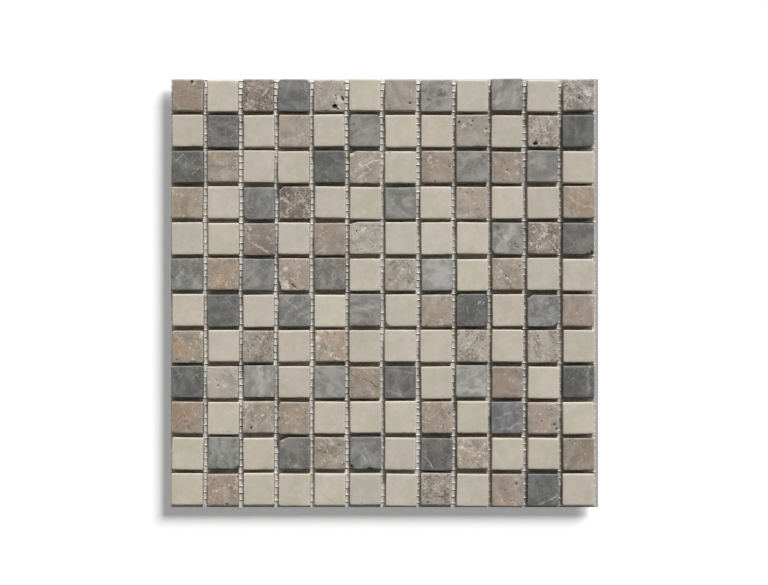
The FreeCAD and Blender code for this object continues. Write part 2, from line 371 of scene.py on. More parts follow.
def box_grid(low, high, cells):
    """Points and faces of a box with a fine top, finer still along its top edges."""
    *face_cells, side_cells = cells
    middle = (low + high) / 2
    half = (high - low) / 2
    xs, ys = (middle[axis] + spaced_line(half[axis], *face_cells) for axis in (0, 1))
    count = len(xs)
    top_x, top_y = np.meshgrid(xs, ys)
    points = [np.stack([top_x.ravel(), top_y.ravel(), np.full(count * count, high[2])], axis=1)]
    grid = np.arange(count * count).reshape(count, count)
    faces = np.stack([grid[:-1, :-1], grid[:-1, 1:], grid[1:, 1:], grid[1:, :-1]], axis=-1)
    faces = faces.reshape(-1, 4).tolist()
    ring = np.concatenate([grid[0, :-1], grid[:-1, -1], grid[-1, :0:-1], grid[:0:-1, 0]])
    rim = points[0][ring]
    for step in range(side_cells):
        below = count * count + step * len(ring) + np.arange(len(ring))
        depth = (high[2] - low[2]) * ((step + 1) / side_cells) ** SIDE_CROWDING
        points.append(rim - (0, 0, depth))
        faces += np.stack([ring, below, np.roll(below, -1), np.roll(ring, -1)], axis=1).tolist()
        ring = below
    return np.concatenate(points), faces + [ring[::-1].tolist()]


def chip_surface(points, low, high, normals, distances):
    """Pulls a box's points onto a chip along rays that fan out round its edges.

    Gives the inner points, the rays, how far they reach, how near an edge each one
    ends, and how much of it lies on a broken corner."""
    inner_low = low + INNER_INSET
    inner_low[2] = low[2]
    inner_high = high - INNER_INSET
    inner = np.clip(points, inner_low, inner_high)
    rays = points - inner
    rays /= np.linalg.norm(rays, axis=1)[:, None]
    facing = rays @ normals.T
    room = distances - inner @ normals.T
    with np.errstate(divide="ignore", invalid="ignore"):
        reach = np.where(facing > PARALLEL, room / facing, np.inf)
    nearest = reach.min(axis=1)
    weights = np.exp(-(reach - nearest[:, None]) / EDGE_ROUNDING)
    rounded = nearest - EDGE_ROUNDING * np.log(weights.sum(axis=1))
    tilt = np.abs(normals[:, 2])
    worn = np.abs(tilt - math.sqrt(0.5)) < SAME_TILT
    sawn = (tilt < SAME_TILT) | (tilt > 1 - SAME_TILT) | worn
    share = weights / weights.sum(axis=1)[:, None]
    edge = (nearest - rounded) / (EDGE_ROUNDING * math.log(2)) + share[:, worn].sum(axis=1)
    return inner, rays, rounded, np.clip(edge, 0, 1), share[:, ~sawn].sum(axis=1)


def stone_family(stone):
    """Which division of the chip's faces a stone needs."""
    return "cream" if stone.startswith("cream") else stone.split("_")[-1]


# How many nicks a chip's top edges get, at least and below, how large and deep they are,
# and where they start: beyond RIM_SHARE of CHIP_REACH from the chip's middle
NICKS = {"cream": (0, 3), "marble": (1, 4), "travertine": (3, 7)}
NICK_RADII = (0.6, 1.6)
NICK_DEPTHS = (0.15, 0.45)
CHIP_REACH = (11.0, 11.2)
RIM_SHARE = 0.98

# Small pits of travertine: how many are tried, how many of those are kept, their radii
PIT_TRIES = (26, 48)
PIT_SHARES = {"porous_travertine": 0.7, "tan_travertine": 0.2, "mottled_travertine": 0.2}
PIT_RADII = (0.22, 0.5)


def dent(surface, cut, pit, centre, radius, depth, seed, darkness=1.0):
    """Deepens the cut in a ragged hollow about a centre, and marks how dark its pit is painted, partly with
    the pit's own dark colour and partly with painted shade.
    """
    far = np.linalg.norm(surface - centre, axis=1)
    near = far < 2.5 * radius
    if not near.any():
        return
    wobble = 1 + 0.5 * value_noise(surface[near], 0.8 * radius + 0.2, seed)
    share = smooth_step(1.5 - 1.1 * far[near] * wobble / radius)
    cut[near] = np.maximum(cut[near], depth * share)
    pit[near] = np.maximum(pit[near], share * darkness)


def make_pits(surface, cut, stone, chip, draw, seed):
    """Cuts pits and nicks, and says how far each point lies in a pit."""
    pit = np.zeros(len(surface))
    middle = np.array([0, 0, HIGH[2]])
    for x, y, radius in PITS.get(chip, []):
        dent(surface, cut, pit, middle + (x, y, 0), radius, 1.1 * radius, seed)
    if stone in PIT_SHARES:
        cluster = value_noise(surface, 6.0, seed + 3)
        for _ in range(int(draw.integers(*PIT_TRIES) * PIT_SHARES[stone]) * 2):
            index = draw.integers(len(surface))
            radius = draw.uniform(*PIT_RADII) * (1 + 0.5 * draw.random() ** 4)
            if cluster[index] > draw.uniform(-0.6, 0.6):
                depth = radius * draw.uniform(0.8, 1.6)
                darkness = draw.uniform(0.2, 0.8)
                dent(surface, cut, pit, surface[index], radius, depth, seed + 17, darkness)
    reach = np.max(np.abs(surface[:, :2]) / CHIP_REACH, axis=1)
    rim = np.flatnonzero((np.abs(surface[:, 2] - HIGH[2]) < 0.5) & (reach > RIM_SHARE))
    for _ in range(int(draw.integers(*NICKS[stone_family(stone)]))):
        centre = surface[rim[draw.integers(len(rim))]]
        dent(surface, cut, pit, centre, draw.uniform(*NICK_RADII), draw.uniform(*NICK_DEPTHS), seed + 23, 0)
    return pit


# How many veins a chip has if none are listed for it, and how strong those are; then for
# all veins their largest number, how far they wander and fade out, and what is far off
DRAWN_VEINS = {"cream": (1, 0.2), "marble": (2, 0.2), "travertine": (1, 0.3)}
MOST_VEINS = 3
VEIN_WANDER = 1.1
VEIN_END = 1.5
FAR_OFF = 9.0


def vein_fields(surface, chip, stone, draw, seed):
    """How far each point lies off up to three veins, in vein widths, and how strong each is."""
    lines = list(VEINS.get(chip, []))
    usual, strength = DRAWN_VEINS[stone_family(stone)]
    for _ in range(usual - len(lines)):
        angle = draw.uniform(0, math.pi)
        middle = draw.uniform(-8, 8, 2)
        half = draw.uniform(3, 10) * np.array([math.cos(angle), math.sin(angle)])
        width = draw.uniform(0.3, 0.8)
        lines.append((*(middle - half), *(middle + half), width, strength * draw.uniform(0.3, 1.0)))
    offsets = np.full((len(surface), MOST_VEINS), FAR_OFF)
    strengths = np.zeros((len(surface), MOST_VEINS))
    for index, (x1, y1, x2, y2, width, strong) in enumerate(lines[:MOST_VEINS]):
        start = np.array([x1, y1], dtype=float)
        run = np.array([x2, y2]) - start
        length = np.linalg.norm(run)
        run /= length
        along = (surface[:, :2] - start) @ run
        across = (surface[:, :2] - start) @ np.array([-run[1], run[0]])
        line = np.stack([along, np.zeros(len(along)), surface[:, 2] * 0.2], axis=1)
        across = across - VEIN_WANDER * layered_noise(line, 4.5, seed + 40 + index)
        ends = smooth_step(along / VEIN_END / 2 + 0.5) * smooth_step((length - along) / VEIN_END / 2 + 0.5)
        offsets[:, index] = np.clip(across / width, -FAR_OFF, FAR_OFF)
        uneven = 0.75 + 0.35 * value_noise(line, 3.0, seed + 50 + index)
        strengths[:, index] = strong * ends * uneven
    return offsets, strengths


def patch_field(surface, spots, seed):
    """How strongly each point is marked by the spots listed for its chip."""
    patch = np.zeros(len(surface))
    for x, y, radius, strong in spots:
        far = np.hypot(surface[:, 0] - x, surface[:, 1] - y) / radius
        far = far + 0.45 * layered_noise(surface, 0.8 * radius + 0.4, seed + 60)
        patch += strong * smooth_step(1.4 - far)
    return patch


# How far drawn tints go, and what a golden and a rosy tint of 1 add to red, green and blue
DRAWN_TINT = (0.75, 0.35, 0.35)
GOLDEN = np.array([0.025, 0.005, -0.055])
ROSY = np.array([0.02, -0.015, 0.005])


def chip_tone(chip, stone, draw):
    """How much more red, green and blue light a chip gives back than its stone as a whole."""
    drawn = draw.uniform(-1, 1, 3) * DRAWN_TINT
    shade, golden, rosy = TINTS.get(chip, drawn)
    return (1 + STONE_LOOKS[stone][0] * shade) * (1 + GOLDEN * golden + ROSY * rosy)


# The least and most mottling, and the fewest and most specks, of chips not listed
DRAWN_TEXTURE = {"tan_travertine": (0.1, 0.5, 0.0, 0.3), "porous_travertine": (0.1, 0.5, 0.2, 0.6)}
OTHER_DRAWN_TEXTURE = (0.3, 0.9, 0.1, 0.5)


def chip_texture(chip, stone, draw):
    """How mottled and how speckled a chip is."""
    low, high, fewest, most = DRAWN_TEXTURE.get(stone, OTHER_DRAWN_TEXTURE)
    drawn = (draw.uniform(low, high), draw.uniform(fewest, most))
    return TEXTURES.get(chip, drawn)


# How deep each part of a chip is worn: at least, how much more by noise, the noise's size
WEAR = {
    "face": (0.02, 0.02, 6.0),
    "side": (0.06, 0.06, 2.2),
    "edge": (0.06, 0.16, 1.8),
    "break": (0.18, 0.18, 1.5),
}


def wear(part, surface, seed, low=-2, high=2):
    """How deep one part of a chip is worn, by noise kept between low and high."""
    least, more, size = WEAR[part]
    return least + more * np.clip(layered_noise(surface, size, seed), low, high)


def make_chip(triangles, stone, chip):
    """One chip's points, faces and what its material reads."""
    row, column = divmod(chip, 100)
    draw = np.random.default_rng(1000 * row + column)
    seed = int(draw.integers(1, 10**6))
    normals, distances = chip_planes(triangles)
    low = triangles.reshape(-1, 3).min(axis=0)
    high = triangles.reshape(-1, 3).max(axis=0)
    normals, distances = deeper_break(normals, distances, low, high, chip)
    grid, faces = box_grid(low, high, CELLS[stone_family(stone)])
    inner, rays, reach, edge, broken = chip_surface(grid, low, high, normals, distances)
    surface = inner + rays * reach[:, None]
    middle = np.array([(low[0] + high[0]) / 2, (low[1] + high[1]) / 2, 0])
    local = surface - middle
    upward = np.clip(rays[:, 2], 0, 1)
    rough = 1.0 if "travertine" in stone else 0.6
    cut = wear("face", surface, seed)
    cut += (1 - upward) * wear("side", surface, seed + 5)
    cut += edge * rough * wear("edge", surface, seed + 9, -0.3, 1)
    cut += broken * wear("break", surface, seed + 13)
    pit = make_pits(local, cut, stone, chip, draw, seed)
    on_bottom = grid[:, 2] < low[2] + 0.01
    points = surface - rays * np.clip(cut, 0, None)[:, None]
    points[on_bottom, 2] = low[2]
    offsets, strengths = vein_fields(local, chip, stone, draw, seed)
    tone = chip_tone(chip, stone, draw)
    mottling, specks = chip_texture(chip, stone, draw)
    turn = draw.uniform(0, 2 * math.pi)
    cos, sin = math.cos(turn), math.sin(turn)
    spin = np.array([[cos, -sin, 0], [sin, cos, 0], [0, 0, 1]])
    return points, faces, {
        "stone_place": (points - middle) @ spin.T + draw.uniform(-500, 500, 3),
        "vein_offset": offsets,
        "vein_strength": strengths,
        "patch": patch_field(local, PATCHES.get(chip, []), seed),
        "warm": patch_field(local, WARM_AREAS.get(chip, []), seed + 5),
        "tone": np.tile(tone, (len(points), 1)),
        "mottling": np.full(len(points), mottling),
        "specks": np.full(len(points), specks),
        "side": 1 - upward,
        "pit": pit,
        "broken": broken,
        "edge": edge,
    }


def make_stone_piece(node):
    """All chips of one CAD node, as one mesh that stands for it."""
    stone = node[len("row_00_"):]
    row = int(node[4:6])
    triangles = node_triangles(node)
    columns = np.floor((triangles.mean(axis=1)[:, 0] - LOW[0]) / PITCH_X).astype(int) + 1
    chips = [
        make_chip(triangles[columns == column], stone, 100 * row + int(column))
        for column in np.unique(columns)
    ]
    points, faces = join(chip[:2] for chip in chips)
    piece = mesh_object(node + "_stone", points, faces, stone_material(stone))
    for name in chips[0][2]:
        store(piece, name, np.concatenate([chip[2][name] for chip in chips]))
    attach(piece, "root")
    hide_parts(node)


# Backing net

def thread_lines(node, across):
    """Where each thread of a CAD node starts and ends, across its run, in order."""
    along = 1 - across
    points = node_triangles(node).reshape(-1, 3)
    ends = []
    for limit in (points[:, along].min(), points[:, along].max()):
        places = np.sort(points[np.abs(points[:, along] - limit) < 0.01][:, across])
        groups = np.split(places, np.flatnonzero(np.diff(places) > 1.0) + 1)
        ends.append([(group.min() + group.max()) / 2 for group in groups])
    return list(zip(*ends))


WEFTS = thread_lines("net_weft_threads", 1)
WARPS = thread_lines("net_warp_threads", 0)

# Weft yarns: sides of their section, their steps, half their height and width, how far
# they weave up and down and wander, and what resin in a joint adds to both halves
WEFT_SIDES = 5
WEFT_STEP = 1.9
JOINT_STEPS = (-1.2, -0.6, 0, 0.6, 1.2)
SHORTEST_STEP = 0.25
WEFT_HALF_HEIGHT = 0.19
WEFT_HALF_WIDTH = 0.34
WEFT_WEAVE = 0.05
WEFT_WANDER = 0.22
RESIN_HEIGHT = 0.06
RESIN_WIDTH = 0.34

# Warp yarns, two to a thread: sides of their section, half their height and width, how far
# they swing to the sides between their crossings, and how far the thread wanders
WARP_SIDES = 4
WARP_HALF_HEIGHT = 0.15
WARP_HALF_WIDTH = 0.2
WARP_TWIST = 0.2
WARP_WANDER = 0.1

# Adhesive dabs: how far from a chip's middle they go, what share of crossings has none,
# their sides, how wide their lower end is against the upper, and the heights of it
DAB_REACH = (9.6, 9.8)
BARE_SHARE = 0.2
DAB_SIDES = 7
DAB_TAPER = 0.55
DAB_BOTTOM = (0.12, 0.25)


def tube(centres, half_widths, half_heights, sides, across):
    """Points and faces of a yarn along centres, given as their x, y and z, with closed ends."""
    centres = np.stack(centres, axis=1)
    angles = 2 * math.pi * (np.arange(sides) + 0.5) / sides
    ring = np.zeros((len(centres), sides, 3))
    ring[:, :, across] = half_widths[:, None] * np.cos(angles)
    ring[:, :, 2] = np.reshape(half_heights, (-1, 1)) * np.sin(angles)
    points = (centres[:, None, :] + ring).reshape(-1, 3)
    grid = np.arange(len(points)).reshape(-1, sides)
    after = np.roll(grid, -1, axis=1)
    order = 1 if across == 1 else -1
    faces = np.stack([grid[:-1], grid[1:], after[1:], after[:-1]], axis=-1).reshape(-1, 4)
    return points, faces[:, ::-order].tolist() + [grid[0, ::-order].tolist(), grid[-1, ::order].tolist()]


def run_places(low, high, pitch, step):
    """Places along a yarn, close together where it crosses a joint."""
    places = list(np.arange(low, high, step)) + [high]
    for joint in np.arange(low, high + pitch / 2, pitch):
        places += [joint + offset for offset in JOINT_STEPS]
    places = np.unique(np.round(np.clip(places, low, high), 3))
    return places[np.concatenate([[True], np.diff(places) > SHORTEST_STEP])]


def noise_line(along, apart):
    """Where a yarn reads its noise, so far from where the others do."""
    return np.stack([along, np.full(len(along), apart), np.zeros(len(along))], axis=1)


def weft_yarns():
    """Flat yarns from side to side that weave over and under the warp, lumpy with resin.

    Gives the points, the faces and how much resin lies on each point."""
    parts, lumps = [], []
    for number, (start, end) in enumerate(WEFTS):
        draw = np.random.default_rng(500 + number)
        xs = run_places(LOW[0], HIGH[0], PITCH_X, WEFT_STEP)
        line = noise_line(xs, 7.0 * number)
        to_joint = np.abs((xs - LOW[0] + PITCH_X / 2) % PITCH_X - PITCH_X / 2)
        lump = np.clip(1.4 - to_joint / 1.2, 0, 1) * draw.uniform(0.3, 1.0)
        lump *= 1 + 0.5 * value_noise(line, 1.3, 71)
        ys = start + (end - start) * (xs - LOW[0]) / WIDTH
        ys = np.clip(ys + WEFT_WANDER * value_noise(line, 6.0, 72), LOW[1] + 0.6, HIGH[1] - 0.6)
        half_heights = WEFT_HALF_HEIGHT + RESIN_HEIGHT * np.clip(lump, 0, 1)
        half_widths = WEFT_HALF_WIDTH + RESIN_WIDTH * lump + 0.06 * value_noise(line, 2.5, 73)
        wave = WEFT_WEAVE * np.cos(math.pi * (xs - LOW[0]) / WIDTH * len(WARPS) + math.pi * number)
        sag = 0.2 * np.clip(1.3 - to_joint / 0.9, 0, 1)
        zs = np.clip(NET_TOP / 2 + wave - sag, half_heights, NET_TOP - half_heights)
        parts.append(tube((xs, ys, zs), half_widths, half_heights, WEFT_SIDES, 1))
        lumps.append(np.repeat(np.clip(1.5 * lump, 0, 1), WEFT_SIDES))
    return (*join(parts), np.concatenate(lumps))


def warp_yarns(turn):
    """One of the two thin yarns of each warp thread, which swap sides at every weft yarn."""
    parts = []
    gap = LENGTH / len(WEFTS)
    for number, (start, end) in enumerate(WARPS):
        ys = np.append(np.arange(LOW[1], HIGH[1], gap / 3), HIGH[1])
        line = noise_line(ys, 5.0 * number)
        phase = math.pi * (ys - LOW[1]) / gap + math.pi * turn
        xs = (start + end) / 2 + WARP_TWIST * np.sin(phase) + WARP_WANDER * value_noise(line, 7.0, 81)
        xs = np.clip(xs, LOW[0] + 0.3, HIGH[0] - 0.3)
        zs = NET_TOP / 2 + (NET_TOP / 2 - WARP_HALF_HEIGHT) * np.cos(phase)
        uneven = 0.06 * value_noise(line, 2.6, 82 + turn) + 0.04 * value_noise(line, 17.0, 84)
        parts.append(tube((xs, ys, zs), WARP_HALF_WIDTH + uneven, WARP_HALF_HEIGHT, WARP_SIDES, 0))
    return join(parts)


def adhesive_dabs():
    """Low blobs of adhesive where threads cross under a chip."""
    draw = np.random.default_rng(90)
    sides = np.arange(DAB_SIDES)
    walls = [(k, DAB_SIDES + k, DAB_SIDES + (k + 1) % DAB_SIDES, (k + 1) % DAB_SIDES)[::-1] for k in sides]
    faces = walls + [tuple(sides + DAB_SIDES)[::-1], tuple(sides)]
    parts = []
    for (weft_start, weft_end), (warp_start, warp_end) in itertools.product(WEFTS, WARPS):
        x = (warp_start + warp_end) / 2
        y = weft_start + (weft_end - weft_start) * (x - LOW[0]) / WIDTH
        off_x = abs((x - LOW[0]) % PITCH_X - PITCH_X / 2)
        off_y = abs((y - LOW[1]) % PITCH_Y - PITCH_Y / 2)
        if off_x > DAB_REACH[0] or off_y > DAB_REACH[1] or draw.random() < BARE_SHARE:
            continue
        radius = draw.uniform(0.8, 1.5)
        angles = 2 * math.pi * sides / DAB_SIDES + draw.uniform(0, 1)
        reach = radius * draw.uniform(0.75, 1.2, DAB_SIDES)
        around = np.stack([reach * np.cos(angles), reach * np.sin(angles)], axis=1)
        points = np.full((2 * DAB_SIDES, 3), NET_TOP)
        points[:DAB_SIDES, :2] = (x, y) + around
        points[DAB_SIDES:, :2] = (x, y) + DAB_TAPER * around
        points[DAB_SIDES:, 2] = draw.uniform(*DAB_BOTTOM)
        parts.append((points, faces))
    return join(parts)


def make_net():
    """The woven net and the adhesive, which stand for the two layers of CAD threads."""
    yarn = yarn_material()
    wanted = (
        ("weft_yarns", weft_yarns(), "net_weft_threads", yarn),
        ("warp_yarns_left", warp_yarns(0), "net_warp_threads", yarn),
        ("warp_yarns_right", warp_yarns(1), "net_warp_threads", yarn),
        ("adhesive", adhesive_dabs(), "net_warp_threads", adhesive_material()),
    )
    for name, (points, faces, *resin), node, material in wanted:
        piece = mesh_object(name, points, faces, material)
        if resin:
            store(piece, "resin", resin[0])
        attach(piece, "root")
        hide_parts(node)


# Materials

def linear(red, green, blue):
    """A colour written as a screen shows it, 0 to 255, as the shader's numbers."""
    def channel(value):
        value /= 255
        return value / 12.92 if value <= 0.04045 else ((value + 0.055) / 1.055) ** 2.4
    return (channel(red), channel(green), channel(blue), 1)


class Nodes:
    """Short ways to add shader nodes to one material."""

    def __init__(self, name):
        self.material = bpy.data.materials.new(name)
        self.material.use_nodes = True
        self.tree = self.material.node_tree
        self.shader = self.tree.nodes["Principled BSDF"]

    def put(self, sockets, values):
        """Links nodes' outputs to sockets, or sets plain values on them."""
        for name, value in values.items():
            if isinstance(value, bpy.types.NodeSocket):
                self.tree.links.new(value, sockets[name])
            else:
                sockets[name].default_value = value

    def dress(self, values):
        """Sets what the shader shows, and gives the material."""
        self.put(self.shader.inputs, values)
        return self.material

    def add(self, kind, values, **settings):
        node = self.tree.nodes.new("ShaderNode" + kind)
        for name, value in settings.items():
            setattr(node, name, value)
        self.put(node.inputs, values)
        return node

    def field(self, name, output="Fac"):
        return self.add("Attribute", {}, attribute_name=name).outputs[output]

    def noise(self, place, scale, detail=3.0, roughness=0.55, output="Fac"):
        values = {"Vector": place, "Scale": scale, "Detail": detail, "Roughness": roughness}
        return self.add("TexNoise", values).outputs[output]

    def spread(self, value, low, high, to_low=0.0, to_high=1.0):
        """Eases a value from one range into another."""
        values = {"Value": value, "From Min": low, "From Max": high, "To Min": to_low, "To Max": to_high}
        return self.add("MapRange", values, interpolation_type="SMOOTHSTEP").outputs["Result"]

    def math(self, operation, *values):
        return self.add("Math", dict(enumerate(values)), operation=operation).outputs[0]

    def product(self, first, second):
        return self.math("MULTIPLY", first, second)

    def vector(self, operation, first, second, output="Vector"):
        return self.add("VectorMath", {0: first, 1: second}, operation=operation).outputs[output]

    def place_mm(self):
        """Where a point of the sheet is, in millimetres."""
        place = self.add("NewGeometry", {}).outputs["Position"]
        return self.vector("MULTIPLY", place, (1 / MM,) * 3)

    def axes(self, value):
        """The x, y and z of a vector."""
        return self.add("SeparateXYZ", {0: value}).outputs

    def warp(self, place, scale, amount):
        """Bends a place's coordinates by up to about half of amount."""
        bend = self.vector("SUBTRACT", self.noise(place, scale, 2, output="Color"), (0.5, 0.5, 0.5))
        return self.vector("ADD", place, self.vector("MULTIPLY", bend, (amount,) * 3))

    def mix(self, share, first, second, blend="MIX"):
        values = {"Factor": share, 6: first, 7: second}
        return self.add("Mix", values, data_type="RGBA", blend_type=blend).outputs[2]

    def times(self, colour, factor, share=1.0):
        """Multiplies a colour by a factor, or by a share of it."""
        return self.mix(share, colour, factor, "MULTIPLY")

    def grainy(self, colour, place, scale, amount):
        """Makes a colour lighter and darker by amount in fine grains."""
        grain = self.spread(self.noise(place, scale, 3, 0.6), 0.3, 0.7, 1 - amount, 1 + amount)
        return self.times(colour, grain)

    def bump(self, height, distance, strength, **below):
        values = {"Height": height, "Distance": distance, "Strength": strength, **below}
        return self.add("Bump", values).outputs["Normal"]

    def thin_line(self, value, middle, width):
        """1 where value is at middle, falling to 0 within width either way."""
        off = self.math("ABSOLUTE", self.math("SUBTRACT", value, middle))
        return self.spread(off, 0.0, width, 1.0, 0.0)

    def shells(self, place, mottling, colour, pale, dark):
        """Draws curved fragments that overlap, each with a pale rim and a dark line beside it."""
        bent = self.warp(self.warp(place, 0.14, 6.0), 0.5, 1.2)
        ramp = self.math("FRACT", self.product(self.noise(bent, 0.1, 1.5), 6.0))
        where = self.spread(self.noise(place, 0.2, 3), 0.40, 0.56)
        where = self.product(where, self.spread(mottling, 0.0, 1.0, 0.05, 1.0))
        shade = self.times(dark, (0.6, 0.59, 0.58, 1))
        gap = self.product(self.spread(ramp, 0.06, 0.26, 1.0, 0.0), where)
        colour = self.mix(self.product(gap, 0.9), colour, shade)
        rim = self.product(self.spread(ramp, 0.86, 0.97, 0.0, 0.8), where)
        return self.mix(rim, colour, pale)

    def own_veins(self, place, pale, dark, colour):
        """Draws the chip's vein lines and patches over a colour."""
        jitter = self.math("SUBTRACT", self.noise(place, 0.8, 4, 0.6), 0.5)
        fade = self.spread(self.noise(place, 0.35, 3), 0.38, 0.56, 0.3, 1.0)
        offsets = self.axes(self.field("vein_offset", "Vector"))
        strengths = self.axes(self.field("vein_strength", "Vector"))
        for offset, strength in zip(offsets, strengths):
            bent = self.math("MULTIPLY_ADD", jitter, 2.2, offset)
            band = self.spread(self.math("ABSOLUTE", bent), 0.45, 1.15, 1.0, 0.0)
            share = self.product(self.product(band, fade), strength)
            colour = self.mix(self.math("MAXIMUM", share, 0.0), colour, pale)
            colour = self.mix(self.math("MAXIMUM", self.product(share, -1.0), 0.0), colour, dark)
        crumbs = self.spread(self.noise(place, 0.55, 5, 0.7), 0.4, 0.58, 0.3, 1.2)
        patch = self.product(self.field("patch"), crumbs)
        colour = self.mix(self.spread(patch, 0.3, 0.65, 0.0, 0.85), colour, pale)
        return self.mix(self.spread(self.product(patch, -1.0), 0.2, 0.8, 0.0, 0.6), colour, dark)


def base_cream(n, place):
    """Cream marble: nearly plain, with soft pinkish and greenish clouds and pale threads."""
    bent = n.warp(place, 0.08, 9.0)
    cloud = n.spread(n.noise(bent, 0.07, 3), 0.35, 0.65)
    colour = n.mix(cloud, linear(182, 177, 161), linear(192, 182, 170))
    colour = n.mix(n.spread(n.noise(bent, 0.2, 4), 0.45, 0.75, 0.0, 0.5), colour, linear(198, 193, 181))
    veil = n.thin_line(n.noise(n.warp(place, 0.15, 5.0), 0.11, 2), 0.5, 0.035)
    colour = n.mix(n.product(veil, 0.22), colour, linear(168, 156, 138))
    return n.grainy(colour, place, 1.2, 0.01), linear(206, 201, 190), linear(150, 134, 112)


def base_grey(dark, light, flecks):
    """Grey marble: cloudy, streaked one way, with dark olive smudges and fine pale flecks."""
    dark, light = linear(*dark), linear(*light)

    def build(n, place):
        bent = n.warp(place, 0.12, 7.0)
        streaked = n.vector("MULTIPLY", bent, (1.0, 0.45, 1.0))
        mottling = n.field("mottling")
        cloud = n.noise(streaked, 0.17, 4, 0.55)
        colour = n.mix(n.spread(cloud, 0.36, 0.64), dark, light)
        warmer = n.spread(n.noise(bent, 0.09, 2), 0.42, 0.6)
        colour = n.times(colour, n.mix(warmer, (0.99, 0.99, 1.015, 1), (1.02, 1.0, 0.965, 1)))
        smudge = n.spread(n.noise(n.warp(streaked, 0.4, 3.5), 0.4, 3, 0.6), 0.52, 0.6, 0.0, 0.62)
        crowd = n.spread(n.noise(place, 0.1, 2), 0.42, 0.56, 0.1, 1.0)
        smudge = n.product(n.product(smudge, crowd), mottling)
        colour = n.mix(smudge, colour, n.times(dark, (0.66, 0.66, 0.62, 1)))
        fleck = n.spread(n.noise(n.warp(place, 0.6, 2.5), 0.5, 4, 0.66), 0.55, 0.64, 0.0, flecks)
        colour = n.mix(n.product(fleck, mottling), colour, linear(178, 177, 172))
        thread = n.thin_line(n.noise(bent, 0.13, 3), 0.5, 0.02)
        where = n.spread(n.noise(place, 0.1, 2), 0.5, 0.62, 0.0, 0.35)
        colour = n.mix(n.product(thread, where), colour, linear(186, 186, 181))
        return n.grainy(colour, place, 1.4, 0.045), linear(188, 188, 182), linear(68, 67, 62)
    return build


def base_travertine(*colours):
    """Travertine: soft layers of brown fragments with pale seams, crumbs and dark specks."""
    dark, mid, pale, warm_tint = (linear(*colour) for colour in colours)

    def build(n, place):
        bent = n.warp(place, 0.12, 8.0)
        layered = n.vector("MULTIPLY", bent, (0.5, 1.3, 1.0))
        mottling = n.field("mottling")
        colour = n.mix(n.spread(n.noise(layered, 0.13, 4, 0.55), 0.35, 0.65), dark, mid)
        stained = n.warp(place, 0.2, 3.0)
        warm = n.spread(n.noise(stained, 0.08, 2), 0.46, 0.56, 0.0, 0.7)
        colour = n.mix(warm, colour, warm_tint)
        cool = n.spread(n.noise(n.vector("ADD", stained, (70, 0, 0)), 0.09, 2), 0.5, 0.58)
        colour = n.times(colour, (0.95, 1.0, 0.99, 1), cool)
        shards = n.warp(n.warp(place, 0.16, 7.0), 0.5, 2.6)
        fragment = n.add("TexVoronoi", {"Vector": shards, "Scale": 0.17}).outputs["Color"]
        fragment = n.vector("DOT_PRODUCT", fragment, (0.33, 0.33, 0.34), "Value")
        colour = n.times(colour, n.spread(fragment, 0.35, 0.65, 0.78, 1.14), mottling)
        colour = n.shells(place, mottling, colour, pale, dark)
        crumb = n.noise(n.warp(place, 0.6, 2.4), 0.5, 5, 0.7)
        crumb = n.math("ADD", crumb, n.spread(mottling, 0.0, 1.0, -0.04, 0.005))
        crumb = n.math("ADD", crumb, n.spread(n.noise(place, 0.13, 2), 0.42, 0.6, -0.1, 0.055))
        colour = n.mix(n.spread(crumb, 0.56, 0.62, 0.0, 0.9), colour, pale)
        speck = n.noise(n.vector("ADD", n.warp(place, 0.8, 1.0), (40, 0, 0)), 0.6, 4, 0.62)
        speck = n.math("ADD", speck, n.spread(n.noise(place, 0.12, 2), 0.4, 0.6, -0.08, 0.055))
        speck = n.math("ADD", speck, n.spread(n.field("specks"), 0.0, 1.0, -0.07, 0.052))
        colour = n.mix(n.spread(speck, 0.55, 0.63, 0.0, 0.7), colour, linear(114, 96, 80))
        return n.grainy(colour, place, 1.2, 0.025), linear(204, 195, 181), linear(74, 61, 51)
    return build


# For each stone: how much lighter a tint of 1 makes it, how dull it is, how strong its relief is, how much
# darker its worn edges are made, and its colours
STONE_LOOKS = {
    "cream_marble": (0.065, 0.70, 0.1, 0.02, base_cream),
    "light_grey_marble": (0.19, 0.66, 0.35, 0.3, base_grey((129, 127, 121), (159, 157, 150), 0.35)),
    "grey_marble": (0.17, 0.66, 0.35, 0.35, base_grey((109, 109, 106), (139, 138, 134), 0.42)),
    "dark_grey_marble": (0.13, 0.66, 0.35, 0.35, base_grey((93, 93, 91), (114, 114, 111), 0.28)),
    "tan_travertine": (0.12, 0.72, 0.4, 0, base_travertine(
        (139, 128, 118), (165, 155, 144), (192, 182, 167), (158, 142, 126))),
    "porous_travertine": (0.13, 0.74, 0.5, 0, base_travertine(
        (151, 143, 134), (174, 167, 157), (200, 192, 180), (168, 156, 144))),
    "mottled_travertine": (0.1, 0.72, 0.4, 0, base_travertine(
        (124, 114, 107), (151, 141, 132), (200, 190, 177), (140, 126, 115))),
}

# What a stone's colour is multiplied by in its golden brown areas, by a painted highlight on its worn edges
# and by painted light with a warm cast on its sides, and the painted shade that its pits go towards
GOLDEN_AREA = (1.06, 0.94, 0.84, 1)
EDGE_PAINTED_HIGHLIGHT = (1.05, 1.05, 1.05, 1)
SIDE_PAINTED_LIGHT = (1.38, 1.35, 1.28, 1)
PIT_PAINTED_SHADE = (0.02, 0.016, 0.012, 1)


